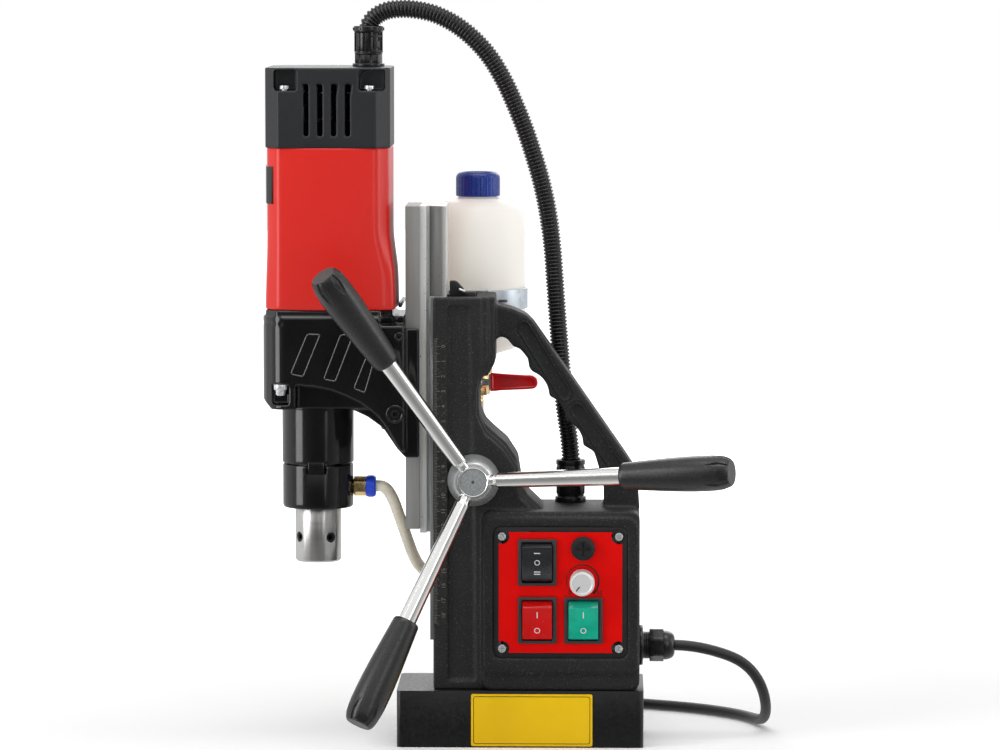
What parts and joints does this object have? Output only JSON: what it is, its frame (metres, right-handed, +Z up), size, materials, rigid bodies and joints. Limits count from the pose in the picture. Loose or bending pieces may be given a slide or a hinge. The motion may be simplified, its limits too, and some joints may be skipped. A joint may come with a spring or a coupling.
{
  "type": "magnetic drill press",
  "caption": "Portable drill press whose motor head slides on a column over an electromagnet base, fed by a spoked capstan, with coolant bottle and control box.",
  "frame": {"origin": "centre of the magnet base's bottom face", "axes": "+Z up, -X towards the drill spindle, -Y towards the operator's side with the capstan and the panel"},
  "size_m": [0.3404, 0.2684, 0.4964],
  "materials": {
    "black_steel": "satin black paint on the magnet's sides",
    "copper_winding": "enamelled copper winding",
    "resin": "cast resin",
    "yellow_plate": "yellow enamelled plate",
    "black_texture": "textured black powder coat",
    "dark_screw": "blackened screws",
    "bright_steel": "ground steel",
    "ruler_black": "black strip with light marks",
    "bronze": "sintered bronze",
    "panel_black": "moulded black plastic",
    "panel_red": "red printed film",
    "zinc_screw": "zinc-plated screws",
    "switch_black": "black switch plastic",
    "board_green": "circuit board",
    "cover_black": "black cover plate",
    "gland_black": "black nylon",
    "cord_black": "black rubber sheath",
    "conduit_black": "corrugated black nylon",
    "bottle_milky": "milky polyethylene",
    "galvanised": "galvanised strap",
    "brass": "turned brass",
    "hose_milky": "milky soft hose",
    "slide_grey": "milled steel",
    "dark_steel": "hardened gear steel",
    "gloss_black": "gloss black paint on castings",
    "aluminium": "machined aluminium",
    "motor_red": "red moulded housing",
    "cover_grey": "satin dark grey plastic",
    "lamination": "laminated core with windings",
    "chrome": "polished chrome",
    "grip_black": "satin black moulded grip",
    "rocker_black": "black rocker",
    "rocker_red": "translucent red rocker",
    "rocker_green": "translucent green rocker",
    "knob_silver": "turned aluminium knob",
    "lever_red": "red dipped lever",
    "cap_blue": "blue ribbed cap"
  },
  "bodies": {
    "stand": {"magnet_body": "black_steel", "magnet_coils": "copper_winding", "coil_potting": "resin", "yellow_plate": "yellow_plate", "stand_casting": "black_texture", "base_screws": "dark_screw", "gib_strips": "bright_steel", "ruler": "ruler_black", "capstan_bushes": "bronze", "panel_plate": "panel_black", "panel_overlay": "panel_red", "box_screws": "zinc_screw", "switch_bodies": "switch_black", "fuse_holder": "switch_black", "potentiometer": "zinc_screw", "control_board": "board_green", "rear_cover": "cover_black", "mains_gland": "gland_black", "mains_cord": "cord_black", "cord_coil": "cord_black", "mains_plug": "cord_black", "lower_conduit_gland": "gland_black", "coolant_bottle": "bottle_milky", "bottle_strap": "galvanised", "tap_body": "brass", "coolant_hose": "hose_milky"},
    "carriage": {"motor_conduit": "conduit_black", "head_plate": "slide_grey", "dovetail_slide": "bright_steel", "slide_screws": "dark_screw", "rack": "dark_steel", "gearbox_casting": "gloss_black", "bearing_plate": "aluminium", "ball_bearings": "bright_steel", "motor_housing": "motor_red", "motor_cover": "cover_grey", "cover_screws": "zinc_screw", "stator": "lamination", "brush_gear": "brass", "upper_conduit_gland": "gland_black", "quill": "gloss_black", "coolant_collar": "gloss_black", "coolant_fitting": "brass"},
    "capstan": {"capstan_shaft": "bright_steel", "capstan_hub": "chrome", "spokes": "chrome", "grips": "grip_black"},
    "armature": {"armature": "lamination", "cooling_fan": "panel_black"},
    "countershaft": {"countershaft": "dark_steel"},
    "spindle": {"arbor": "bright_steel", "spindle_wheel": "dark_steel", "arbor_grub_screws": "dark_screw"},
    "direction_rocker": {"direction_rocker": "rocker_black"},
    "motor_rocker": {"motor_rocker": "rocker_red"},
    "magnet_rocker": {"magnet_rocker": "rocker_green"},
    "speed_knob": {"speed_knob": "knob_silver"},
    "fuse_cap": {"fuse_cap": "switch_black"},
    "tap_lever": {"tap_lever": "lever_red"},
    "bottle_cap": {"bottle_cap": "cap_blue"}
  },
  "joints": [
    {"name": "capstan_turn", "type": "hinge", "parent": "stand", "child": "capstan", "pos_m": [-0.031, 0, 0.1785], "axis": [0, 1, 0], "range_deg": [-470, 115]},
    {"name": "feed", "type": "slide", "parent": "stand", "child": "carriage", "axis": [0, 0, 1], "range_m": [-0.098, 0.024], "deforming": ["motor_conduit", "coolant_hose"]},
    {"name": "armature_turn", "type": "hinge", "parent": "carriage", "child": "armature", "pos_m": [-0.1275, 0, 0.4], "axis": [0, 0, 1], "continuous": true},
    {"name": "countershaft_turn", "type": "hinge", "parent": "carriage", "child": "countershaft", "pos_m": [-0.12501, 0.02286, 0.25], "axis": [0, 0, 1], "continuous": true},
    {"name": "spindle_turn", "type": "hinge", "parent": "carriage", "child": "spindle", "pos_m": [-0.1363, 0, 0.2], "axis": [0, 0, 1], "continuous": true},
    {"name": "direction_rock", "type": "hinge", "parent": "stand", "child": "direction_rocker", "pos_m": [0.0114, -0.0371, 0.1242], "axis": [1, 0, 0], "range_deg": [-12, 12]},
    {"name": "motor_rock", "type": "hinge", "parent": "stand", "child": "motor_rocker", "pos_m": [0.0114, -0.0371, 0.0855], "axis": [-1, 0, 0], "range_deg": [0, 24]},
    {"name": "magnet_rock", "type": "hinge", "parent": "stand", "child": "magnet_rocker", "pos_m": [0.0421, -0.0371, 0.0855], "axis": [-1, 0, 0], "range_deg": [0, 24]},
    {"name": "speed_turn", "type": "hinge", "parent": "stand", "child": "speed_knob", "pos_m": [0.0413, -0.045, 0.1118], "axis": [0, 1, 0], "range_deg": [0, 280]},
    {"name": "fuse_turn", "type": "hinge", "parent": "stand", "child": "fuse_cap", "pos_m": [0.0418, -0.043, 0.1336], "axis": [0, 1, 0], "range_deg": [-90, 0]},
    {"name": "tap_turn", "type": "hinge", "parent": "stand", "child": "tap_lever", "pos_m": [-0.0307, 0.055, 0.236], "axis": [0, 1, 0], "range_deg": [0, 90]},
    {"name": "cap_turn", "type": "hinge", "parent": "stand", "child": "bottle_cap", "pos_m": [-0.0307, 0.067, 0.37], "axis": [0, 0, 1], "range_deg": [0, 540]}
  ],
  "couplings": [
    {"joint": "capstan_turn", "follows": "feed", "rad_per_m": 83.333},
    {"joint": "countershaft_turn", "follows": "armature_turn", "ratio": -0.27778},
    {"joint": "spindle_turn", "follows": "armature_turn", "ratio": 0.11574}
  ]
}
